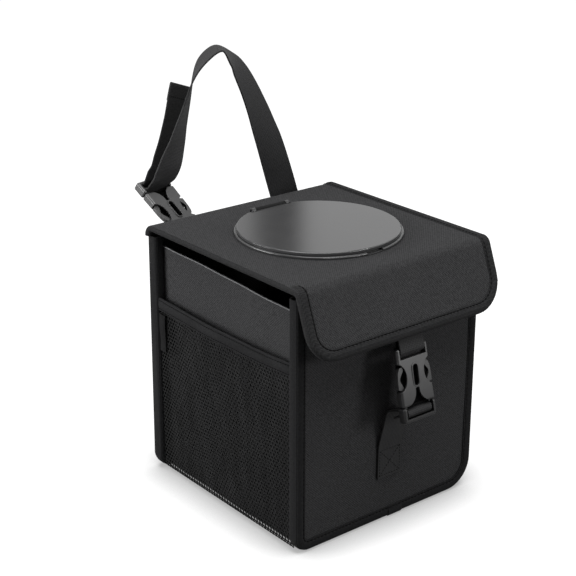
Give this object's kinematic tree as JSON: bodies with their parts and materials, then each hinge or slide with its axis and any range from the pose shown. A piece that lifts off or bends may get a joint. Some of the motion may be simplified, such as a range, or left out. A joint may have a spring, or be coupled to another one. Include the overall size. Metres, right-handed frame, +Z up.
{
  "type": "car trash bin",
  "caption": "Soft, boxy car trash bin with a fold-over fabric lid, round plastic flip lid, net side pockets, front side-release buckle and adjustable hanging strap at the back.",
  "frame": {"origin": "On the floor, under the middle of the bin's box", "axes": "+Z up, +X to the right seen from the front, and the front with its buckle looks along -Y"},
  "size_m": [0.192, 0.2838, 0.3403],
  "materials": {
    "panel_fabric": "dark grey woven polyester over a stiff board, matt",
    "binding_tape": "black ribbed binding tape with a line of stitching",
    "pocket_net": "black fine knitted net",
    "hem_tape": "black folded tape",
    "tag_tape": "black woven tag, bare",
    "ring_plastic": "black moulded plastic, glossy",
    "disc_plastic": "dark grey moulded plastic, smooth and glossy",
    "pin_steel": "plain steel wire",
    "buckle_plastic": "black moulded acetal, satin",
    "webbing": "black ribbed polypropylene webbing"
  },
  "bodies": {
    "bin": {"front_panel": "panel_fabric", "back_panel": "panel_fabric", "gusset": "panel_fabric", "front_binding": "binding_tape", "back_binding": "binding_tape", "left_pocket": "pocket_net", "left_pocket_hem": "hem_tape", "right_pocket": "pocket_net", "right_pocket_hem": "hem_tape", "side_tag": "tag_tape", "panel_strap": "webbing", "front_plug": "buckle_plastic", "hanging_strap": "webbing", "hanging_plug": "buckle_plastic", "hanging_socket": "buckle_plastic", "anchor_strap": "webbing"},
    "lid": {"lid_cover": "panel_fabric", "lid_binding": "binding_tape", "opening_ring": "ring_plastic", "ring_retainer": "ring_plastic", "hinge_pin": "pin_steel", "flap_strap": "webbing", "front_socket": "buckle_plastic"},
    "round_lid": {"round_lid": "disc_plastic"}
  },
  "joints": [
    {"name": "lid_hinge", "type": "hinge", "parent": "bin", "child": "lid", "pos_m": [0, 0.0945, 0.2062], "axis": [-1, 0, 0], "range_deg": [0, 90], "deforming": ["hanging_strap", "front_plug"]},
    {"name": "round_lid_hinge", "type": "hinge", "parent": "lid", "child": "round_lid", "pos_m": [0, 0.054, 0.2206], "axis": [-1, 0, 0], "range_deg": [0, 95]}
  ]
}
